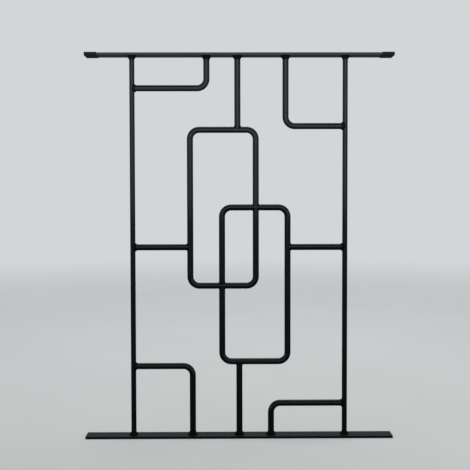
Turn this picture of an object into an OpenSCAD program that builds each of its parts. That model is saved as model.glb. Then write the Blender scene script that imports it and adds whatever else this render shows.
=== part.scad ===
// Window security bar: a welded steel grille of two flat bars, two uprights,
// two interlocked rings, short straight bars and four corner bends.
// +X is to the right seen from the front, +Y runs to the back, +Z is up.
// The origin is at the underside of the bottom flat, in the middle.

/* [Overall] */
// Height from the underside of the bottom flat to the top of the end caps
overall_h = 750; // [500:1:1200]

/* [Flat bars] */
// Length of the bottom flat bar
bottom_l = 600; // [480:1:1200]
// Length of the top flat bar, without its end caps
top_l = 594; // [480:1:1200]
// Shift of the top flat bar from the middle, to the right
top_shift = 1.5; // [-3:0.5:3]
// Depth of each flat bar, front to back
flat_d = 30; // [24:1:50]
// Thickness of each flat bar
flat_t = 5; // [3:0.5:10]

/* [End caps] */
// Wall of the caps on the ends of the top flat
cap_wall = 1; // [0.5:0.1:3]
// Thickness of the closed end of a cap
cap_end = 1.5; // [0.5:0.1:4]
// Length of flat bar that a cap covers
cap_reach = 22; // [10:1:40]

/* [Round bars] */
// Diameter of the rings, bends, links and centre bars
bar_d = 12; // [8:0.5:16]
// Diameter of the two uprights
upright_d = 10; // [8:0.5:16]
// Distance of each upright from the middle
upright_x = 207; // [170:1:280]
// Radius of every bend, on the bar's centre line
bend_r = 18; // [14:0.5:30]
// Distance that a branch bar's end stays from the axis of the bar it meets
cope_gap = 2; // [1:0.5:3]

/* [Rings] */
// Width of a ring between the centre lines of its sides
ring_w = 128; // [90:1:180]
// Height of the upper ring between the centre lines of its top and bottom
upper_ring_h = 304; // [200:1:400]
// Height of the lower ring between the centre lines of its top and bottom
lower_ring_h = 302; // [200:1:400]
// Shift of each ring from the middle, across
ring_dx = 31; // [20:1:45]
// Shift of each ring from the middle, up or down
ring_dz = 75; // [50:1:100]

/* [Short bars] */
// Position of the top centre bar, across
top_bar_x = -2.5; // [-20:0.5:20]
// Position of the bottom centre bar, across
bottom_bar_x = 0.5; // [-20:0.5:20]
// Height of the two link bars
link_z = 373.5; // [300:0.5:450]

/* [Corner bends] */
// Distance from the middle to the vertical leg of the two short bends
short_bend_x = 62.5; // [30:0.5:85]
// Distance from the outer edge to the horizontal leg of the two short bends
short_bend_z = 67.5; // [40:0.5:110]
// Distance from the middle to the vertical leg of the two long bends
long_bend_x = 91; // [60:0.5:150]
// Distance from the outer edge to the horizontal leg of the two long bends
long_bend_z = 141; // [80:0.5:200]

/* [Welds] */
// Leg of a collar weld along the round bar
collar_up = 7; // [3:0.5:10]
// Leg of a collar weld along the flat bar
collar_out = 4.5; // [2:0.5:4.5]
// Radius of the bead where a bar meets an upright
upright_bead_r = 2.6; // [1.5:0.1:3]
// Radius of the bead where a bar meets a ring
ring_bead_r = 2.2; // [1.5:0.1:3]

/* [Hidden] */

bar_r = bar_d / 2;
upright_r = upright_d / 2;
mid_z = overall_h / 2;
low_z = flat_t;
high_z = overall_h - cap_wall - flat_t;
half_w = ring_w / 2;
upper_x = -ring_dx;
upper_z = mid_z + ring_dz;
upper_top_z = upper_z + upper_ring_h / 2;
upper_base_z = upper_z - upper_ring_h / 2;
lower_x = ring_dx;
lower_z = mid_z - ring_dz;
lower_top_z = lower_z + lower_ring_h / 2;
lower_base_z = lower_z - lower_ring_h / 2;
short_top_z = overall_h - short_bend_z;
long_top_z = overall_h - long_bend_z;
upright_wrap = 90;
ring_wrap = 58;
bead_swell = 1.1;
bar_fn = 36;
bead_fn = 16;
sweep_fn = 32;
paint = [0.16, 0.17, 0.19];
bead_paint = [0.13, 0.14, 0.15];
cap_black = [0.05, 0.05, 0.05];

// Building blocks -----------------------------------------------------------

module bar_x(x0, x1, z, d = bar_d) {
    translate([x0, 0, z])
        rotate([0, 90, 0])
            cylinder(h = x1 - x0, d = d, $fn = bar_fn);
}

module bar_z(x, z0, z1, d = bar_d) {
    translate([x, 0, z0])
        cylinder(h = z1 - z0, d = d, $fn = bar_fn);
}

// A quarter bend in the plane of the grille, starting at angle a from +X.
module quarter(x, z, a) {
    translate([x, 0, z])
        rotate([90, 0, 0])
            rotate([0, 0, a])
                rotate_extrude(angle = 90, $fn = bar_fn)
                    translate([bend_r, 0])
                        circle(d = bar_d, $fn = bar_fn);
}

// A closed ring of bent bar, h high, with its centre at x, z.
module ring(x, z, h) {
    half_h = h / 2;
    in_w = half_w - bend_r;
    in_h = half_h - bend_r;
    for (side = [-1, 1]) {
        bar_z(x + side * half_w, z - in_h, z + in_h);
        bar_x(x - in_w, x + in_w, z + side * half_h);
    }
    quarter(x + in_w, z + in_h, 0);
    quarter(x - in_w, z + in_h, 90);
    quarter(x - in_w, z - in_h, 180);
    quarter(x + in_w, z - in_h, 270);
}

// A ring whose two ends close onto a bar that crosses it at seam_x, seam_z.
module seamed_ring(x, z, h, seam_x, seam_z) {
    difference() {
        ring(x, z, h);
        bar_x(seam_x - bar_d, seam_x + bar_d, seam_z);
        translate([seam_x - bar_d, -bar_d, seam_z - cope_gap])
            cube([2 * bar_d, 2 * bar_d, 2 * cope_gap]);
    }
}

// A straight bar between two vertical bars, coped round each of them.
module coped_bar_x(x0, d0, x1, d1, z) {
    difference() {
        bar_x(x0 + cope_gap, x1 - cope_gap, z);
        bar_z(x0, z - bar_d, z + bar_d, d0);
        bar_z(x1, z - bar_d, z + bar_d, d1);
    }
}

// A corner bend: one leg up to a flat, the other coped onto an upright.
// Drawn for the top left corner, leg_x and leg_z from the middle and the edge.
module corner_bend(leg_x, leg_z) {
    z = overall_h - leg_z;
    bar_z(-leg_x, z + bend_r, high_z);
    quarter(-leg_x - bend_r, z + bend_r, 270);
    difference() {
        bar_x(-upright_x + cope_gap, -leg_x - bend_r, z);
        bar_z(-upright_x, z - bar_d, z + bar_d, upright_d);
    }
}

// Half a turn about the middle of the grille, top left to bottom right.
module half_turn() {
    lift = high_z + low_z;
    translate([0, 0, lift])
        rotate([0, 180, 0])
            children();
}

// A collar weld round a bar of radius r that stands on a flat face, z up.
module collar(r) {
    chord = sqrt(collar_out * collar_out + collar_up * collar_up);
    reach = chord * sqrt(3) / 2;
    rotate_extrude($fn = bar_fn)
        difference() {
            polygon([
                [r, 0],
                [r + collar_out, 0],
                [r, collar_up]
            ]);
            translate([
                r + collar_out / 2 + reach * collar_up / chord,
                collar_up / 2 + reach * collar_out / chord
            ])
                circle(r = chord, $fn = 2 * bar_fn);
        }
}

module foot_collar(x, r) {
    translate([x, 0, low_z])
        collar(r);
}

module head_collar(x, r) {
    translate([x, 0, high_z])
        mirror([0, 0, 1])
            collar(r);
}

// One curved bead in the corner between a branch bar and a through bar.
// The through bar stands along z, the branch leaves along +x, and the bead
// runs wrap degrees to each side of the corner and swells where it stops.
module corner_bead(through_r, bead_r, wrap, up) {
    corner = sqrt(through_r * through_r + bar_r * bar_r);
    tilt = atan2(bar_r, through_r);
    rotate([0, -up * tilt, 0])
        translate([corner - bar_r, 0, 0]) {
            rotate([0, 0, -wrap])
                rotate_extrude(angle = 2 * wrap, $fn = sweep_fn)
                    translate([bar_r, 0])
                        circle(r = bead_r, $fn = bead_fn);
            for (side = [-1, 1])
                translate([bar_r * cos(wrap), side * bar_r * sin(wrap), 0])
                    sphere(r = bead_swell * bead_r, $fn = bead_fn);
        }
}

// The weld of a branch bar that leaves a through bar along +x.
module branch_weld(through_r, bead_r, wrap) {
    difference() {
        union() {
            corner_bead(through_r, bead_r, wrap, 1);
            corner_bead(through_r, bead_r, wrap, -1);
        }
        bar_z(0, -2 * bar_d, 2 * bar_d, 2 * through_r);
        bar_x(-bar_d, 2 * bar_d, 0);
    }
}

// The weld of a ring's two ends onto the bar that crosses it.
module seam_weld(x, z) {
    translate([x, 0, z])
        for (turn = [-90, 90])
            rotate([0, turn, 0])
                branch_weld(bar_r, ring_bead_r, ring_wrap);
}

// Pieces --------------------------------------------------------------------

module flat_bar(l, z) {
    translate([-l / 2, -flat_d / 2, z])
        cube([l, flat_d, flat_t]);
}

module bottom_flat() {
    color(paint)
        flat_bar(bottom_l, 0);
}

module top_flat() {
    color(paint)
        translate([top_shift, 0, 0])
            flat_bar(top_l, high_z);
}

// A black cap pushed over the right-hand end of the top flat.
module end_cap() {
    color(cap_black)
        difference() {
            translate([top_l / 2 - cap_reach, -flat_d / 2 - cap_wall, high_z - cap_wall])
                cube([cap_reach + cap_end, flat_d + 2 * cap_wall, flat_t + 2 * cap_wall]);
            flat_bar(top_l, high_z);
        }
}

module top_left_end_cap() {
    translate([top_shift, 0, 0])
        mirror([1, 0, 0])
            end_cap();
}

module top_right_end_cap() {
    translate([top_shift, 0, 0])
        end_cap();
}

module left_upright() {
    color(paint)
        bar_z(-upright_x, low_z, high_z, upright_d);
}

module right_upright() {
    color(paint)
        bar_z(upright_x, low_z, high_z, upright_d);
}

module upper_ring() {
    color(paint)
        seamed_ring(upper_x, upper_z, upper_ring_h, upper_x + half_w, lower_top_z);
}

module lower_ring() {
    color(paint)
        seamed_ring(lower_x, lower_z, lower_ring_h, lower_x - half_w, upper_base_z);
}

module top_centre_bar() {
    color(paint)
        difference() {
            bar_z(top_bar_x, upper_top_z + cope_gap, high_z);
            bar_x(top_bar_x - bar_d, top_bar_x + bar_d, upper_top_z);
        }
}

module bottom_centre_bar() {
    color(paint)
        difference() {
            bar_z(bottom_bar_x, low_z, lower_base_z - cope_gap);
            bar_x(bottom_bar_x - bar_d, bottom_bar_x + bar_d, lower_base_z);
        }
}

module left_link_bar() {
    color(paint)
        coped_bar_x(-upright_x, upright_d, upper_x - half_w, bar_d, link_z);
}

module right_link_bar() {
    color(paint)
        coped_bar_x(lower_x + half_w, bar_d, upright_x, upright_d, link_z);
}

module top_left_bend() {
    color(paint)
        corner_bend(short_bend_x, short_bend_z);
}

module top_right_bend() {
    color(paint)
        mirror([1, 0, 0])
            corner_bend(long_bend_x, long_bend_z);
}

module bottom_left_bend() {
    color(paint)
        half_turn()
            mirror([1, 0, 0])
                corner_bend(long_bend_x, long_bend_z);
}

module bottom_right_bend() {
    color(paint)
        half_turn()
            corner_bend(short_bend_x, short_bend_z);
}

module weld_left_upright_top() {
    color(bead_paint)
        head_collar(-upright_x, upright_r);
}

module weld_left_upright_foot() {
    color(bead_paint)
        foot_collar(-upright_x, upright_r);
}

module weld_right_upright_top() {
    color(bead_paint)
        head_collar(upright_x, upright_r);
}

module weld_right_upright_foot() {
    color(bead_paint)
        foot_collar(upright_x, upright_r);
}

module weld_top_centre_bar_flat() {
    color(bead_paint)
        head_collar(top_bar_x, bar_r);
}

module weld_bottom_centre_bar_flat() {
    color(bead_paint)
        foot_collar(bottom_bar_x, bar_r);
}

module weld_top_left_bend_flat() {
    color(bead_paint)
        head_collar(-short_bend_x, bar_r);
}

module weld_top_right_bend_flat() {
    color(bead_paint)
        head_collar(long_bend_x, bar_r);
}

module weld_bottom_left_bend_flat() {
    color(bead_paint)
        foot_collar(-long_bend_x, bar_r);
}

module weld_bottom_right_bend_flat() {
    color(bead_paint)
        foot_collar(short_bend_x, bar_r);
}

// Welds of the bars that leave the left upright, then the right upright.
module left_upright_weld(z) {
    translate([-upright_x, 0, z])
        branch_weld(upright_r, upright_bead_r, upright_wrap);
}

module right_upright_weld(z) {
    translate([upright_x, 0, z])
        mirror([1, 0, 0])
            branch_weld(upright_r, upright_bead_r, upright_wrap);
}

module weld_top_left_bend_upright() {
    color(bead_paint)
        left_upright_weld(short_top_z);
}

module weld_top_right_bend_upright() {
    color(bead_paint)
        right_upright_weld(long_top_z);
}

module weld_bottom_left_bend_upright() {
    color(bead_paint)
        left_upright_weld(high_z + low_z - long_top_z);
}

module weld_bottom_right_bend_upright() {
    color(bead_paint)
        right_upright_weld(high_z + low_z - short_top_z);
}

module weld_left_link_upright() {
    color(bead_paint)
        left_upright_weld(link_z);
}

module weld_right_link_upright() {
    color(bead_paint)
        right_upright_weld(link_z);
}

module weld_left_link_ring() {
    color(bead_paint)
        translate([upper_x - half_w, 0, link_z])
            mirror([1, 0, 0])
                branch_weld(bar_r, ring_bead_r, ring_wrap);
}

module weld_right_link_ring() {
    color(bead_paint)
        translate([lower_x + half_w, 0, link_z])
            branch_weld(bar_r, ring_bead_r, ring_wrap);
}

module weld_top_centre_bar_ring() {
    color(bead_paint)
        translate([top_bar_x, 0, upper_top_z])
            rotate([0, -90, 0])
                branch_weld(bar_r, ring_bead_r, ring_wrap);
}

module weld_bottom_centre_bar_ring() {
    color(bead_paint)
        translate([bottom_bar_x, 0, lower_base_z])
            rotate([0, 90, 0])
                branch_weld(bar_r, ring_bead_r, ring_wrap);
}

module weld_upper_ring_seam() {
    color(bead_paint)
        seam_weld(upper_x + half_w, lower_top_z);
}

module weld_lower_ring_seam() {
    color(bead_paint)
        seam_weld(lower_x - half_w, upper_base_z);
}

bottom_flat();
top_flat();
top_left_end_cap();
top_right_end_cap();
left_upright();
right_upright();
upper_ring();
lower_ring();
top_centre_bar();
bottom_centre_bar();
left_link_bar();
right_link_bar();
top_left_bend();
top_right_bend();
bottom_left_bend();
bottom_right_bend();
weld_left_upright_top();
weld_left_upright_foot();
weld_right_upright_top();
weld_right_upright_foot();
weld_top_centre_bar_flat();
weld_bottom_centre_bar_flat();
weld_top_left_bend_flat();
weld_top_right_bend_flat();
weld_bottom_left_bend_flat();
weld_bottom_right_bend_flat();
weld_top_left_bend_upright();
weld_top_right_bend_upright();
weld_bottom_left_bend_upright();
weld_bottom_right_bend_upright();
weld_left_link_upright();
weld_right_link_upright();
weld_left_link_ring();
weld_right_link_ring();
weld_top_centre_bar_ring();
weld_bottom_centre_bar_ring();
weld_upper_ring_seam();
weld_lower_ring_seam();
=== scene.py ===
import math

import bmesh
import bpy
from mathutils import Matrix, Vector, noise


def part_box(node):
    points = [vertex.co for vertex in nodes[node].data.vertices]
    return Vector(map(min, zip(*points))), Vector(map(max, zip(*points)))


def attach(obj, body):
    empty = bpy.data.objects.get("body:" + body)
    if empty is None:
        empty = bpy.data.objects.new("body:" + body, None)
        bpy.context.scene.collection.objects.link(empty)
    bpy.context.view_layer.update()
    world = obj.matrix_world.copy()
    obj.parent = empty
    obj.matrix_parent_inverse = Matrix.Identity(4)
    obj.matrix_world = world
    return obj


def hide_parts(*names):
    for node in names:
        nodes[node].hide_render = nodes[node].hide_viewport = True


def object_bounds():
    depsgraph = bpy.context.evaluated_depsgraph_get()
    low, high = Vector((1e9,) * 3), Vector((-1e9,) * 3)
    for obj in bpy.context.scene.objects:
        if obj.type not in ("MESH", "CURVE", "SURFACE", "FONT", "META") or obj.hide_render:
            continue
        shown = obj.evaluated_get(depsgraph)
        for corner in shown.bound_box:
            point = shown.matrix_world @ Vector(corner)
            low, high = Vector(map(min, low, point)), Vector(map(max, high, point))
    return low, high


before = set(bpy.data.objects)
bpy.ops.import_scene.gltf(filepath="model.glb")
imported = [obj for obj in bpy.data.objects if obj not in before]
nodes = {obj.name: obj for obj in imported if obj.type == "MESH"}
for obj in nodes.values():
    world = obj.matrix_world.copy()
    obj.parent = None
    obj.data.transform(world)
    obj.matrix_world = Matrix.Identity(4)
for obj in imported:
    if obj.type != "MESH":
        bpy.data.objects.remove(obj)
cadLow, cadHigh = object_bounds()
scene = bpy.context.scene
mm = 0.001
crispFrom = math.radians(40)  # an edge where the faces turn by more than this stays crisp
print("frame loaded,", len(nodes), "nodes")


# small helpers

def linear(hexColour):
    values = [int(hexColour[i:i + 2], 16) / 255 for i in (1, 3, 5)]
    return tuple(v / 12.92 if v <= 0.04045 else ((v + 0.055) / 1.055) ** 2.4 for v in values) + (1.0,)


def addNode(tree, kind, give, inputs=None, **settings):
    # makes one node, sets or links its inputs by name or number, and gives back the output asked for
    made = tree.nodes.new(kind)
    for key, value in settings.items():
        setattr(made, key, value)
    for name, value in (inputs or {}).items():
        socket = next(s for i, s in enumerate(made.inputs) if s.enabled and name in (i, s.name))
        if isinstance(value, bpy.types.NodeSocket):
            tree.links.new(value, socket)
        else:
            socket.default_value = value
    return give and next(s for s in made.outputs if s.name == give and s.enabled)


def newMaterial(name):
    made = bpy.data.materials.new(name)
    made.use_nodes = True
    shader = next(n for n in made.node_tree.nodes if n.type == "BSDF_PRINCIPLED")
    return made, made.node_tree, shader


def addSkin(bm, rows, loop):
    # joins rows of points into one closed skin; loop says that the last row meets the first
    rings = [[bm.verts.new(point) for point in row] for row in rows]
    across = len(rows[0])
    for i in range(len(rings) - (0 if loop else 1)):
        here, there = rings[i], rings[(i + 1) % len(rings)]
        for j in range(across):
            k = (j + 1) % across
            bm.faces.new((here[j], there[j], there[k], here[k]))
    if not loop:
        bm.faces.new(rings[0])
        bm.faces.new(rings[-1][::-1])


def addPiece(name, bm, material, standsFor):
    mesh = bpy.data.meshes.new(name)
    bmesh.ops.recalc_face_normals(bm, faces=bm.faces)
    for face in bm.faces:
        face.smooth = True
    for edge in bm.edges:
        edge.smooth = edge.calc_face_angle(0) < crispFrom
    bm.to_mesh(mesh)
    bm.free()
    mesh.materials.append(material)
    made = bpy.data.objects.new(name, mesh)
    scene.collection.objects.link(made)
    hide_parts(standsFor)
    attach(made, "root")


# camera: place in metres, turns in degrees, lens and sensor in mm

view = {"place": (-0.0183, -1.4786, 0.4727), "pitch": -1.87, "yaw": -0.416, "roll": -0.108,
        "lens": 58.06, "sensor": 36.0, "rise": -0.0296, "nearest": 0.01}
cameraData = bpy.data.cameras.new("camera")
cameraData.lens = view["lens"]
cameraData.sensor_width = view["sensor"]
cameraData.shift_y = view["rise"]
cameraData.clip_start = view["nearest"]
camera = bpy.data.objects.new("camera", cameraData)
camera.matrix_world = (
    Matrix.Translation(view["place"])
    @ Matrix.Rotation(math.radians(view["yaw"]), 4, "Z")
    @ Matrix.Rotation(math.radians(90 + view["pitch"]), 4, "X")
    @ Matrix.Rotation(math.radians(view["roll"]), 4, "Z")
)
scene.collection.objects.link(camera)
scene.camera = camera
scene.view_settings.view_transform = "Standard"
print("camera placed")


# table, air and light: the table's radius and fade are in metres, its gap and clouds in mm; the air's
# heights are sines of the angle above eye level

table = {"radius": 9.0, "sides": 96, "gap": 0.2, "light": "#e6e6e4", "dark": "#dededc", "cloudSize": 300,
         "matt": 0.85, "glow": 0.42, "fadeFrom": 1.2, "fadeTo": 4.5}
air = {"backdrop": "#d3d5d7", "colour": "#e2effc", "bandFrom": -0.08, "bandFull": 0.19,
       "dimFrom": 0.25, "dimFull": 0.6, "overhead": 0.12,
       "frontBelow": 0.004, "backBelow": 0.13, "frontBand": 0.95, "backBand": 0.27}
softboxes = (
    {"name": "low fill", "place": (0, -0.75, 0.42), "target": (0, -0.75, 1.42), "size": (2.2, 1.0),
     "watts": 9, "opening": 180, "colour": "#e6f1ff"},
    {"name": "gridded front box", "place": (0, -1.0, 1.05), "target": (0, 0, 0.95), "size": (2.6, 0.8),
     "watts": 1.6, "opening": 70, "colour": "#e6f1ff"},
    {"name": "overhead softbox", "place": (0.3, 0.9, 2.3), "target": (0, 0.2, 0), "size": (2.2, 1.6),
     "watts": 14, "opening": 180, "colour": "#ffffff"},
)


def addFloor():
    # milky acrylic of a shooting table, faintly lit from below: pale, matt and never quite even, so it
    # has soft clouds of tone, and it runs out into the air
    material, tree, shader = newMaterial("milky acrylic table")
    place = addNode(tree, "ShaderNodeTexCoord", "Object")
    cloud = addNode(tree, "ShaderNodeTexNoise", "Fac",
                    {"Vector": place, "Scale": 1 / (table["cloudSize"] * mm), "Detail": 3.0})
    tone = addNode(tree, "ShaderNodeMix", "Result",
                   {"Factor": cloud, "A": linear(table["dark"]), "B": linear(table["light"])},
                   data_type="RGBA")
    tree.links.new(tone, shader.inputs["Base Color"])
    tree.links.new(tone, shader.inputs["Emission Color"])
    shader.inputs["Emission Strength"].default_value = table["glow"]
    shader.inputs["Roughness"].default_value = table["matt"]
    distance = addNode(tree, "ShaderNodeVectorMath", "Value", {"Vector": place}, operation="LENGTH")
    cover = addNode(tree, "ShaderNodeMapRange", "Result",
                    {"Value": distance, "From Min": table["fadeFrom"], "From Max": table["fadeTo"],
                     "To Min": 1.0, "To Max": 0.0}, interpolation_type="SMOOTHSTEP")
    tree.links.new(cover, shader.inputs["Alpha"])
    bm = bmesh.new()
    bmesh.ops.create_circle(bm, cap_ends=True, segments=table["sides"], radius=table["radius"])
    mesh = bpy.data.meshes.new("floor")
    bm.to_mesh(mesh)
    bm.free()
    mesh.materials.append(material)
    made = bpy.data.objects.new("floor", mesh)
    made.location.z = cadLow.z - table["gap"] * mm
    # the table lights the bars but isn't mirrored in them, so their undersides stay dark
    made.visible_glossy = False
    scene.collection.objects.link(made)


def addAir():
    # a wide bright band of air from eye level up, strongest in front and dim below and overhead, and
    # an even backdrop where the air is seen directly
    world = bpy.data.worlds.new("studio air")
    scene.world = world
    world.use_nodes = True
    tree = world.node_tree
    tree.nodes.clear()
    heading = addNode(tree, "ShaderNodeTexCoord", "Generated")
    deep = addNode(tree, "ShaderNodeSeparateXYZ", "Y", {"Vector": heading})
    high = addNode(tree, "ShaderNodeSeparateXYZ", "Z", {"Vector": heading})
    below = addNode(tree, "ShaderNodeMapRange", "Result",
                    {"Value": deep, "From Min": -1.0, "From Max": 1.0,
                     "To Min": air["frontBelow"], "To Max": air["backBelow"]})
    band = addNode(tree, "ShaderNodeMapRange", "Result",
                   {"Value": deep, "From Min": -1.0, "From Max": 1.0,
                    "To Min": air["frontBand"], "To Max": air["backBand"]})
    rising = addNode(tree, "ShaderNodeMapRange", "Result",
                     {"Value": high, "From Min": air["bandFrom"], "From Max": air["bandFull"],
                      "To Min": below, "To Max": band}, interpolation_type="SMOOTHSTEP")
    dimming = addNode(tree, "ShaderNodeMapRange", "Result",
                      {"Value": high, "From Min": air["dimFrom"], "From Max": air["dimFull"],
                       "To Min": 1.0, "To Max": air["overhead"]}, interpolation_type="SMOOTHSTEP")
    strength = addNode(tree, "ShaderNodeMath", "Value", {0: rising, 1: dimming}, operation="MULTIPLY")
    lit = addNode(tree, "ShaderNodeBackground", "Background",
                  {"Color": linear(air["colour"]), "Strength": strength})
    seen = addNode(tree, "ShaderNodeBackground", "Background",
                   {"Color": linear(air["backdrop"]), "Strength": 1.0})
    direct = addNode(tree, "ShaderNodeLightPath", "Is Camera Ray")
    both = addNode(tree, "ShaderNodeMixShader", "Shader", {0: direct, 1: lit, 2: seen})
    addNode(tree, "ShaderNodeOutputWorld", None, {"Surface": both})


def addSoftbox(box):
    # opening is how wide the light leaves the box, in degrees: a grid in front of it makes it narrow
    data = bpy.data.lights.new(box["name"], "AREA")
    data.shape = "RECTANGLE"
    data.size, data.size_y = box["size"]
    data.energy = box["watts"]
    data.spread = math.radians(box["opening"])
    data.color = linear(box["colour"])[:3]
    made = bpy.data.objects.new(box["name"], data)
    aim = Vector(box["target"]) - Vector(box["place"])
    made.location = box["place"]
    made.rotation_euler = aim.to_track_quat("-Z", "Y").to_euler()
    made.visible_camera = False
    scene.collection.objects.link(made)


addFloor()
addAir()
for box in softboxes:
    addSoftbox(box)
print("floor and lights placed")


# finishes

# a noise node seldom leaves this span, so it is stretched to the whole of a mix or a roughness;
# a wave node scaled by 1 has this many bands in a metre
noiseSpan = {"From Min": 0.35, "From Max": 0.65}
wavesPerMetre = 3.2


def powderCoat(name, finish):
    # satin polyester powder on steel: a near-neutral slate black with a soft highlight, faint orange
    # peel, and a little dust on what faces up
    material, tree, shader = newMaterial(name)
    place = addNode(tree, "ShaderNodeTexCoord", "Object")
    facing = addNode(tree, "ShaderNodeNewGeometry", "Normal")
    facingX = addNode(tree, "ShaderNodeSeparateXYZ", "X", {"Vector": facing})
    facingZ = addNode(tree, "ShaderNodeSeparateXYZ", "Z", {"Vector": facing})
    # detail and roughness of each pattern, whose blobs are about its size in millimetres across
    layers = {"film": (3.0, 0.5), "grit": (3.0, 0.6), "peel": (1.0, 0.5), "dust": (4.0, 0.7)}
    pattern = {}
    for part, (detail, rough) in layers.items():
        pattern[part] = addNode(tree, "ShaderNodeTexNoise", "Fac",
                                {"Vector": place, "Scale": 1 / (finish[part + "Size"] * mm),
                                 "Detail": detail, "Roughness": rough})

    # colour: the film drifts between two blacks, the grit is a little paler, the dust settles on top
    drift = addNode(tree, "ShaderNodeMapRange", "Result", {"Value": pattern["film"], **noiseSpan})
    coat = addNode(tree, "ShaderNodeMix", "Result",
                   {"Factor": drift, "A": linear(finish["dark"]), "B": linear(finish["light"])},
                   data_type="RGBA")
    specks = addNode(tree, "ShaderNodeMapRange", "Result",
                     {"Value": pattern["grit"], "From Min": finish["speckFrom"],
                      "From Max": finish["speckFull"], "To Max": finish["speckMost"]})
    coat = addNode(tree, "ShaderNodeMix", "Result",
                   {"Factor": specks, "A": coat, "B": linear(finish["grit"])}, data_type="RGBA")
    upward = addNode(tree, "ShaderNodeMapRange", "Result",
                     {"Value": facingZ, "From Min": finish["dustFrom"], "From Max": finish["dustFull"],
                      "To Max": finish["dustCover"]})
    patchy = addNode(tree, "ShaderNodeMapRange", "Result",
                     {"Value": pattern["dust"], **noiseSpan, "To Min": finish["dustLeast"]})
    dusty = addNode(tree, "ShaderNodeMath", "Value", {0: upward, 1: patchy}, operation="MULTIPLY")
    coat = addNode(tree, "ShaderNodeMix", "Result",
                   {"Factor": dusty, "A": coat, "B": linear(finish["dust"])}, data_type="RGBA")
    tree.links.new(coat, shader.inputs["Base Color"])

    # gloss: duller where the film is gritty or dusty
    satin = addNode(tree, "ShaderNodeMapRange", "Result",
                    {"Value": pattern["grit"], **noiseSpan,
                     "To Min": finish["satin"][0], "To Max": finish["satin"][1]})
    satin = addNode(tree, "ShaderNodeMath", "Value", {0: dusty, 1: finish["dustDulls"], 2: satin},
                    operation="MULTIPLY_ADD")
    tree.links.new(satin, shader.inputs["Roughness"])
    shader.inputs["IOR"].default_value = 1.5
    shader.inputs["Specular IOR Level"].default_value = finish["shine"]

    # relief: the peel first, the finer grit over it
    relief = addNode(tree, "ShaderNodeBump", "Normal",
                     {"Height": pattern["peel"], "Distance": finish["peelDepth"] * mm, "Strength": 1.0})
    relief = addNode(tree, "ShaderNodeBump", "Normal",
                     {"Height": pattern["grit"], "Distance": finish["gritDepth"] * mm, "Strength": 1.0,
                      "Normal": relief})
    if finish.get("sawPitch"):
        # the sawn ends: blade marks across the end faces, still readable under the coat
        sideways = addNode(tree, "ShaderNodeMath", "Value", {0: facingX}, operation="ABSOLUTE")
        end = addNode(tree, "ShaderNodeMath", "Value", {0: sideways, 1: finish["endFacing"]},
                      operation="GREATER_THAN")
        turned = addNode(tree, "ShaderNodeMapping", "Vector",
                         {"Vector": place, "Rotation": (math.radians(finish["sawTilt"]), 0, 0)})
        marks = addNode(tree, "ShaderNodeTexWave", "Fac",
                        {"Vector": turned, "Scale": 1 / (finish["sawPitch"] * mm) / wavesPerMetre,
                         "Distortion": 1.5, "Detail": 1.0, "Detail Scale": 0.5}, bands_direction="Y")
        cut = addNode(tree, "ShaderNodeMath", "Value", {0: marks, 1: end}, operation="MULTIPLY")
        relief = addNode(tree, "ShaderNodeBump", "Normal",
                         {"Height": cut, "Distance": finish["sawDepth"] * mm, "Strength": 1.0,
                          "Normal": relief})
    tree.links.new(relief, shader.inputs["Normal"])
    return material


def mouldedPlastic(name, finish):
    # moulded low-density polyethylene: soft black that scatters light, with a spark-eroded grain
    material, tree, shader = newMaterial(name)
    place = addNode(tree, "ShaderNodeTexCoord", "Object")
    flow = addNode(tree, "ShaderNodeTexNoise", "Fac",
                   {"Vector": place, "Scale": 1 / (finish["flowSize"] * mm), "Detail": 2.0})
    grain = addNode(tree, "ShaderNodeTexNoise", "Fac",
                    {"Vector": place, "Scale": 1 / (finish["grainSize"] * mm), "Detail": 3.0,
                     "Roughness": 0.6})
    drift = addNode(tree, "ShaderNodeMapRange", "Result", {"Value": flow, **noiseSpan})
    colour = addNode(tree, "ShaderNodeMix", "Result",
                     {"Factor": drift, "A": linear(finish["dark"]), "B": linear(finish["light"])},
                     data_type="RGBA")
    tree.links.new(colour, shader.inputs["Base Color"])
    matt = addNode(tree, "ShaderNodeMapRange", "Result",
                   {"Value": grain, **noiseSpan, "To Min": finish["matt"][0], "To Max": finish["matt"][1]})
    tree.links.new(matt, shader.inputs["Roughness"])
    shader.inputs["IOR"].default_value = 1.51
    shader.inputs["Specular IOR Level"].default_value = finish["shine"]
    relief = addNode(tree, "ShaderNodeBump", "Normal",
                     {"Height": grain, "Distance": finish["grainDepth"] * mm, "Strength": 1.0})
    tree.links.new(relief, shader.inputs["Normal"])
    return material


# sizes in mm; the real grit is near 0.3 mm and the peel near 2 mm, both drawn a little coarser to show
barFinish = {"dark": "#050607", "light": "#090a0c", "grit": "#1e2124", "dust": "#9a978f",
             "filmSize": 45, "gritSize": 0.7, "peelSize": 2.6, "dustSize": 5,
             "speckFrom": 0.55, "speckFull": 0.7, "speckMost": 0.35,
             "dustFrom": 0.6, "dustFull": 0.95, "dustCover": 0.04, "dustLeast": 0.25, "dustDulls": 0.5,
             "satin": (0.24, 0.44), "shine": 0.5, "peelDepth": 0.09, "gritDepth": 0.05}
flatFinish = dict(barFinish, dark="#060708", light="#0b0c0e", dustCover=0.06,
                  endFacing=0.9, sawPitch=1.1, sawTilt=12, sawDepth=0.12)
weldFinish = dict(barFinish, dark="#040405", light="#08080a", filmSize=9, peelSize=1.6,
                  satin=(0.46, 0.68), shine=0.16, peelDepth=0.08, dustCover=0.02)
capFinish = {"dark": "#060607", "light": "#0c0c0d", "flowSize": 12, "grainSize": 0.6,
             "matt": (0.44, 0.66), "shine": 0.25, "grainDepth": 0.09}

barCoat = powderCoat("satin powder-coated round bar", barFinish)
flatCoat = powderCoat("satin powder-coated flat bar", flatFinish)
weldCoat = powderCoat("powder-coated weld bead", weldFinish)
capPlastic = mouldedPlastic("moulded black polyethylene", capFinish)
print("materials made")


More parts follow.
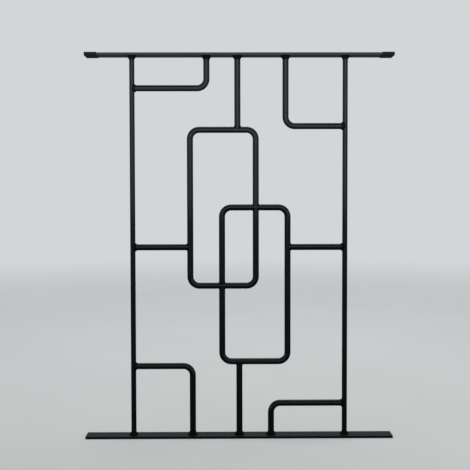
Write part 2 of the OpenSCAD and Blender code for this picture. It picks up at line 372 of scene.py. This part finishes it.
# round bars: the shapes of the frame with the finish of coated bar

roundBars = [name for name in nodes
             if name.endswith(("_upright", "_ring", "_bar", "_bend")) and not name.startswith("weld")]
for name in roundBars:
    nodes[name].material_slots[0].material = barCoat
print("round bars finished:", len(roundBars))


# flat bars: hot-rolled, so the long edges are slightly round

flatBar = {"edge": 0.7, "edgeSteps": 3, "joinWithin": 0.001}
for name in ("bottom_flat", "top_flat"):
    bar = nodes[name]
    bar.material_slots[0].material = flatCoat
    join = bar.modifiers.new("join faces", "WELD")
    join.merge_threshold = flatBar["joinWithin"] * mm
    soften = bar.modifiers.new("rolled edge", "BEVEL")
    soften.width = flatBar["edge"] * mm
    soften.segments = flatBar["edgeSteps"]
    soften.limit_method = "ANGLE"
    soften.harden_normals = True
print("flat bars finished")


# end caps: thin moulded sleeves pushed over the ends of the top flat, sizes in mm

endCap = {"wall": 1.0, "closedWall": 1.5, "corner": 1.4, "innerCorner": 0.3, "crown": 0.9, "crownSteps": 5,
          "rim": 0.35, "rimSoft": 0.3, "grooveAt": 2.4, "grooveWide": 0.7, "grooveDeep": 0.25,
          "grooveSlope": 0.15, "cornerSteps": 8}


def roundedOutline(x, halfDepth, halfHeight, corner, centre, steps):
    points = []
    corner = min(corner, halfDepth, halfHeight)
    for quarter, (signY, signZ) in enumerate(((1, 1), (-1, 1), (-1, -1), (1, -1))):
        for step in range(steps + 1):
            angle = math.pi / 2 * (quarter + step / steps)
            points.append(Vector((
                x,
                centre.y / mm + signY * (halfDepth - corner) + corner * math.cos(angle),
                centre.z / mm + signZ * (halfHeight - corner) + corner * math.sin(angle))) * mm)
    return points


def addEndCap(node, outward):
    low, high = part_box(node)
    centre = (low + high) / 2
    length, depth, height = (high - low) / mm
    closedX = (high.x if outward > 0 else low.x) / mm
    bodyY, bodyZ = depth / 2, height / 2
    rows = []

    def addRow(inward, pullIn, corner=endCap["corner"], wall=0.0):
        rows.append(roundedOutline(closedX - outward * inward, bodyY - wall - pullIn, bodyZ - wall - pullIn,
                                   corner, centre, endCap["cornerSteps"]))

    # outside from the crowned closed end past the groove to the soft rim, then back along the inside
    crown = endCap["crown"]
    for step in range(endCap["crownSteps"] + 1):
        turn = math.pi / 2 * step / endCap["crownSteps"]
        addRow(crown * (1 - math.cos(turn)), crown * (1 - math.sin(turn)))
    groove = length - endCap["grooveAt"]
    addRow(groove, 0)
    addRow(groove + endCap["grooveSlope"], endCap["grooveDeep"])
    addRow(groove + endCap["grooveWide"] - endCap["grooveSlope"], endCap["grooveDeep"])
    addRow(groove + endCap["grooveWide"], 0)
    addRow(length - endCap["rim"], 0)
    addRow(length - endCap["rim"] * endCap["rimSoft"], endCap["rim"] * endCap["rimSoft"])
    addRow(length, endCap["rim"])
    addRow(length, 0, endCap["innerCorner"], endCap["wall"])
    addRow(endCap["closedWall"], 0, endCap["innerCorner"], endCap["wall"])
    bm = bmesh.new()
    addSkin(bm, rows, False)
    addPiece(node.replace("_", "-") + "-moulded", bm, capPlastic, node)


addEndCap("top_left_end_cap", -1)
addEndCap("top_right_end_cap", 1)
print("end caps made")


# welds: laid by hand, so each has ripples, uneven legs and its own seed; sizes are in mm, and a bead's
# from and to are degrees round the branch bar

ripple = {"pitch": 1.9, "height": 0.17, "curl": 0.32, "roundness": 0.7, "below": 0.6,
          "uneven": 0.2, "lumpSize": 5.0, "seedSteps": (7.3, 3.1, 5.7)}
collarWeld = {"around": 96, "profile": 14, "sink": 0.3, "hollow": 0.38, "topReach": 0.97, "rippleOut": 1.5}
uprightWeld = {"stations": 150, "around": 20, "halfWide": 3.5, "lift": 0.85, "crown": 1.4, "lean": 1.6,
               "leastRoom": 6.0, "from": 0, "to": 360, "firstSeed": 20}
ringWeld = {"stations": 64, "around": 18, "halfWide": 1.8, "lift": 0.45, "crown": 0.8, "lean": 0.2,
            "leastRoom": 3.0, "from": -72, "to": 72, "firstSeed": 40}
seamWeld = dict(ringWeld, halfWide=1.4, lift=0.1, crown=0.55, lean=0.1)
# how a bead follows its corner: leastRoom and softness, both in square mm, keep it clear of the
# through bar's axis, it sits lower and flatter where the two bars run flush, and an open bead tapers
# to its two ends
beadRun = {"softness": 4.0, "flatLift": 0.9, "flatCrown": 0.35, "taperPower": 5, "taperLeast": 0.03,
           "nudge": 0.01}


def rippleHeight(along, across):
    # rounded ripples with sharp valleys, each one curled like a crescent
    phase = along / ripple["pitch"] + ripple["curl"] * across * across
    return ripple["height"] * (abs(math.sin(math.pi * phase)) ** ripple["roundness"] - ripple["below"])


def lump(place, seed):
    # how much larger than nominal the weld is here; the seed moves it to its own stretch of the noise
    spot = place / ripple["lumpSize"] + Vector([seed * step for step in ripple["seedSteps"]])
    return 1 + ripple["uneven"] * noise.noise(spot)


def addCollar(node, radius, seed):
    # a concave fillet all round a bar where it meets a flat bar
    low, high = (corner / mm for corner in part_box(node))
    upward = 1 if low.z < cadHigh.z / mm / 2 else -1
    foot = low.z if upward > 0 else high.z
    legOut, legUp = (high.x - low.x) / 2 - radius, high.z - low.z
    centre = Vector(((low.x + high.x) / 2, 0, foot))
    rows = []
    steps = collarWeld["profile"]
    for turn in range(collarWeld["around"]):
        angle = 2 * math.pi * turn / collarWeld["around"]
        outward = Vector((math.cos(angle), math.sin(angle), 0))
        # where the leg along the flat is longer, the leg along the bar is shorter
        grow = lump(outward * radius, seed)
        toe = Vector((legOut * grow, 0))
        top = Vector((0, legUp * (2 - grow) * collarWeld["topReach"]))
        waist = Vector((legOut, legUp)) * collarWeld["hollow"]
        row = []
        for step in range(steps + 1):
            t = step / steps
            spot = toe * (1 - t) ** 2 + waist * 2 * t * (1 - t) + top * t * t
            proud = rippleHeight(angle * (radius + collarWeld["rippleOut"]), 2 * t - 1)
            proud *= math.sqrt(math.sin(math.pi * t))
            spot += Vector((legUp, legOut)).normalized() * proud
            row.append((max(spot.x, 0), max(spot.y, 0)))
        # the rest of the outline is sunk in the two bars
        row += [(-collarWeld["sink"], row[-1][1]), (-collarWeld["sink"], -collarWeld["sink"]),
                (row[0][0], -collarWeld["sink"])]
        rows.append([(centre + outward * (radius + out) + Vector((0, 0, upward * up))) * mm
                     for out, up in row])
    bm = bmesh.new()
    addSkin(bm, rows, True)
    addPiece(node.replace("_", "-") + "-fillet", bm, weldCoat, node)


def goesRound(bead):
    return bead["to"] - bead["from"] == 360


def addBead(bm, throughRadius, branchRadius, bead, turned, seed):
    # one bead along the corner where a branch bar leaves a through bar, in mm about the crossing of
    # their axes: the through bar along z, the branch along x
    loop = goesRound(bead)
    count = bead["stations"]

    def corner(angle):
        # where the branch's skin meets the through bar's; room is the square of how far along x
        y, z = branchRadius * math.sin(angle), branchRadius * math.cos(angle)
        room, least = throughRadius ** 2 - y * y, bead["leastRoom"]
        room = (room + least + math.hypot(room - least, beadRun["softness"])) / 2
        return Vector((math.sqrt(room), y, z))

    rows = []
    for station in range(count + (0 if loop else 1)):
        share = station / count
        angle = math.radians(bead["from"] + (bead["to"] - bead["from"]) * share)
        spot = corner(angle)
        along = (corner(angle + beadRun["nudge"]) - corner(angle - beadRun["nudge"])).normalized()
        onBranch = Vector((0, spot.y, spot.z)).normalized()
        onThrough = Vector((spot.x, spot.y, 0)).normalized()
        outward = (onBranch + onThrough).normalized()
        sideways = along.cross(outward)
        if sideways.x < 0:
            sideways.negate()
        flatness = max(onBranch.dot(onThrough), 0)
        taper = 1
        if not loop:
            taper = math.sqrt(max(1 - abs(2 * share - 1) ** beadRun["taperPower"], beadRun["taperLeast"]))
        size = lump(spot, seed) * taper
        lift = bead["lift"] * (1 - beadRun["flatLift"] * flatness) * size
        crown = bead["crown"] * (1 - beadRun["flatCrown"] * flatness) * size
        wide = bead["halfWide"] * size
        travelled = angle * branchRadius
        row = []
        for step in range(bead["around"]):
            turn = 2 * math.pi * step / bead["around"]
            swell = rippleHeight(travelled, min(turn, 2 * math.pi - turn)) * taper
            swell *= math.sqrt(max(math.cos(turn), 0))
            point = (spot + outward * (lift + (crown + swell) * math.cos(turn))
                     + sideways * (bead["lean"] * taper + wide * math.sin(turn)))
            row.append(turned @ (point * mm))
        rows.append(row)
    addSkin(bm, rows, loop)


def addBranchWeld(node, place, throughRadius, bead, headings, seed):
    # headings says which way each branch leaves the through bar
    bm = bmesh.new()
    turns = {"+x": Matrix.Identity(4), "-x": Matrix.Rotation(math.pi, 4, "Z"),
             "+z": Matrix.Rotation(-math.pi / 2, 4, "Y"), "-z": Matrix.Rotation(math.pi / 2, 4, "Y")}
    for heading in headings:
        turned = Matrix.Translation(place) @ turns[heading]
        if goesRound(bead):
            addBead(bm, throughRadius, barRadius, bead, turned, seed)
        else:
            # an open bead lies in one corner of the joint, and a second one in the opposite corner
            for flip in (0, math.pi):
                other = turned @ Matrix.Rotation(flip, 4, "X")
                addBead(bm, throughRadius, barRadius, bead, other, seed + flip)
    addPiece(node.replace("_", "-") + "-bead", bm, weldCoat, node)


def spanOf(node, axis):
    low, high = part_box(node)
    return low[axis], high[axis], (low[axis] + high[axis]) / 2


bendFront, bendBack, _ = spanOf("top_left_bend", 1)
uprightFrom, uprightTo, _ = spanOf("left_upright", 0)
barRadius = (bendBack - bendFront) / 2 / mm
uprightRadius = (uprightTo - uprightFrom) / 2 / mm
collars = [name for name in nodes if name.startswith("weld") and name.endswith(("_top", "_foot", "_flat"))]
for seed, name in enumerate(sorted(collars)):
    addCollar(name, uprightRadius if "_upright_" in name else barRadius, seed)
print("collar welds made:", len(collars))

reach = barRadius * mm
leftX, rightX = spanOf("left_upright", 0)[2], spanOf("right_upright", 0)[2]
branches = (
    ("weld_top_left_bend_upright", leftX, spanOf("top_left_bend", 2)[0] + reach, "+x"),
    ("weld_bottom_left_bend_upright", leftX, spanOf("bottom_left_bend", 2)[1] - reach, "+x"),
    ("weld_left_link_upright", leftX, spanOf("left_link_bar", 2)[2], "+x"),
    ("weld_top_right_bend_upright", rightX, spanOf("top_right_bend", 2)[0] + reach, "-x"),
    ("weld_bottom_right_bend_upright", rightX, spanOf("bottom_right_bend", 2)[1] - reach, "-x"),
    ("weld_right_link_upright", rightX, spanOf("right_link_bar", 2)[2], "-x"),
)
for order, (name, x, z, heading) in enumerate(branches):
    seed = uprightWeld["firstSeed"] + order
    addBranchWeld(name, (x, 0, z), uprightRadius, uprightWeld, (heading,), seed)

upperLeft, upperRight = spanOf("upper_ring", 0)[0] + reach, spanOf("upper_ring", 0)[1] - reach
upperBase, upperTop = spanOf("upper_ring", 2)[0] + reach, spanOf("upper_ring", 2)[1] - reach
lowerLeft, lowerRight = spanOf("lower_ring", 0)[0] + reach, spanOf("lower_ring", 0)[1] - reach
lowerBase, lowerTop = spanOf("lower_ring", 2)[0] + reach, spanOf("lower_ring", 2)[1] - reach
ringJoints = (
    ("weld_left_link_ring", upperLeft, spanOf("left_link_bar", 2)[2], ringWeld, ("-x",)),
    ("weld_right_link_ring", lowerRight, spanOf("right_link_bar", 2)[2], ringWeld, ("+x",)),
    ("weld_top_centre_bar_ring", spanOf("top_centre_bar", 0)[2], upperTop, ringWeld, ("+z",)),
    ("weld_bottom_centre_bar_ring", spanOf("bottom_centre_bar", 0)[2], lowerBase, ringWeld, ("-z",)),
    ("weld_upper_ring_seam", upperRight, lowerTop, seamWeld, ("+z", "-z")),
    ("weld_lower_ring_seam", lowerLeft, upperBase, seamWeld, ("+z", "-z")),
)
for order, (name, x, z, bead, headings) in enumerate(ringJoints):
    addBranchWeld(name, (x, 0, z), barRadius, bead, headings, bead["firstSeed"] + order)
print("bead welds made:", len(branches) + len(ringJoints))
